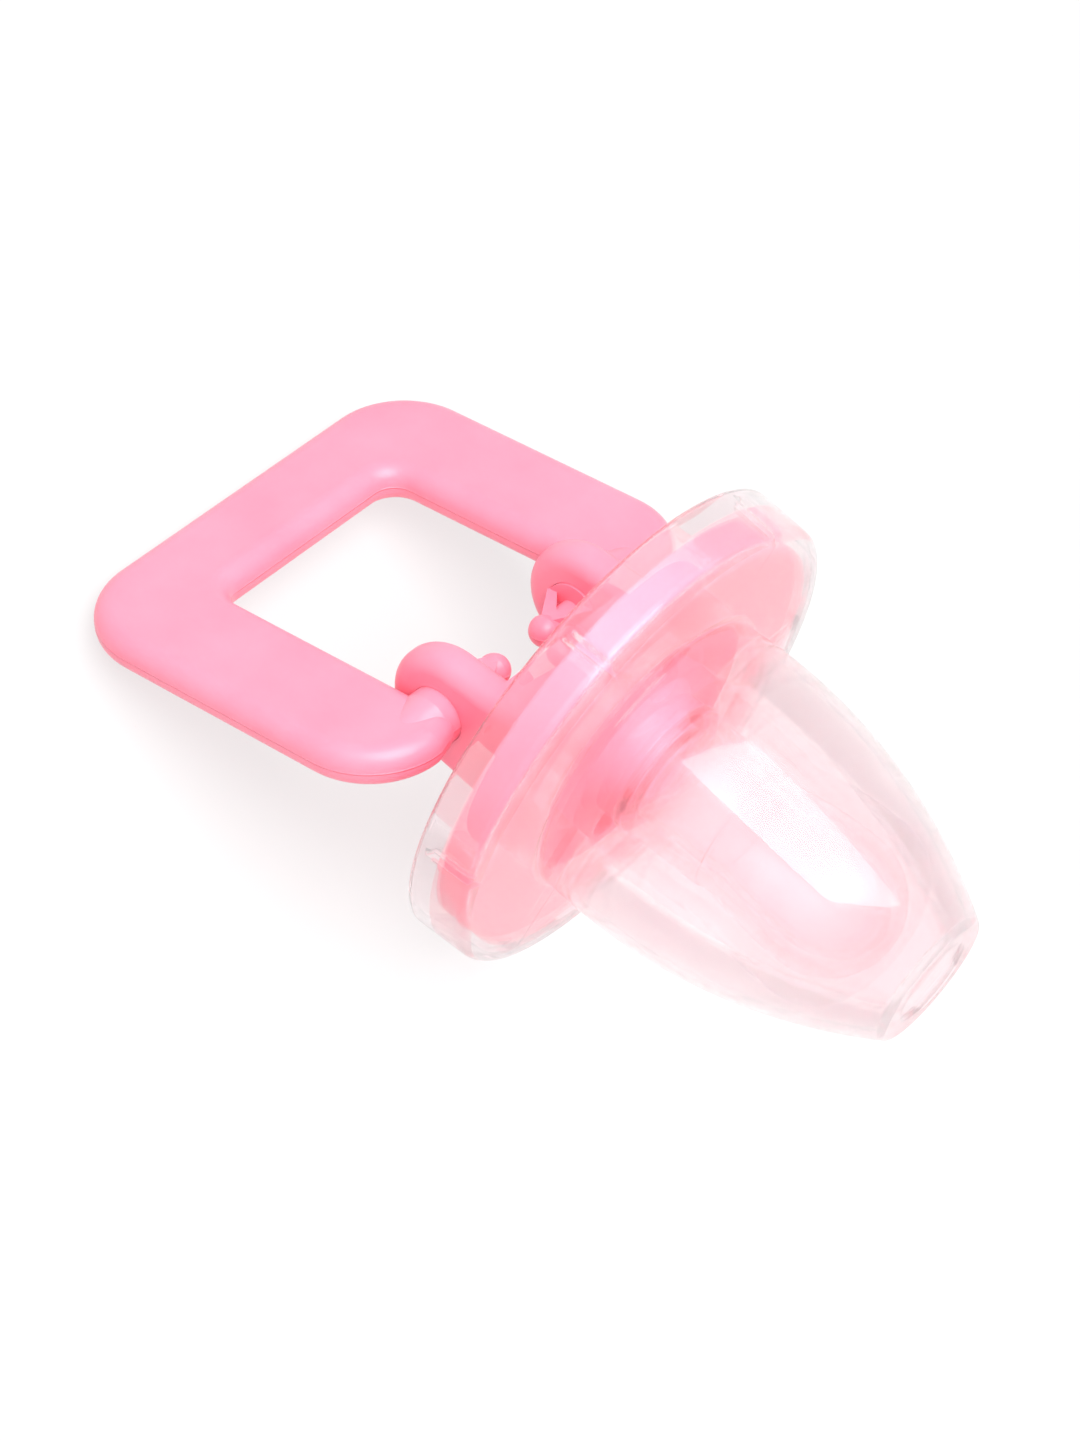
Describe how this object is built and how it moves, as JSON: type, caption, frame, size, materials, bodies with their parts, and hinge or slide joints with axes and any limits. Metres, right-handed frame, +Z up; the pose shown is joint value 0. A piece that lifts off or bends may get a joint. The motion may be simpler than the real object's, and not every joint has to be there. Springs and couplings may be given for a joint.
{
  "type": "pacifier",
  "caption": "Round-shield baby pacifier with a clear silicone teat, a clear push-on cap, and a square ring handle that swings on snap pins between ears.",
  "frame": {"origin": "on the table under the middle of the object's box, with the pacifier resting on the back rim of its cap and on the grip of its handle", "axes": "+Z up, +X level and towards the teat's tip, +Y along the handle's hinge; the teat's own axis rises 17.5 degrees from +X"},
  "size_m": [0.0886, 0.056, 0.0548],
  "materials": {
    "clear_plastic": "clear, polished",
    "pink_plastic": "satin pink moulded plastic",
    "silicone": "clear, soft sheen"
  },
  "bodies": {
    "core": {"shield": "pink_plastic", "teat": "silicone", "plug": "pink_plastic"},
    "cap": {"clear_cap": "clear_plastic"},
    "handle": {"handle": "pink_plastic"}
  },
  "joints": [
    {"name": "handle_hinge", "type": "hinge", "parent": "core", "child": "handle", "pos_m": [-0.01038, 0, 0.02357], "axis": [0, 1, 0], "range_deg": [-78, 111]},
    {"name": "cap_slide", "type": "slide", "parent": "core", "child": "cap", "axis": [0.9535, 0, 0.3014], "range_m": [0, 0.05]}
  ]
}
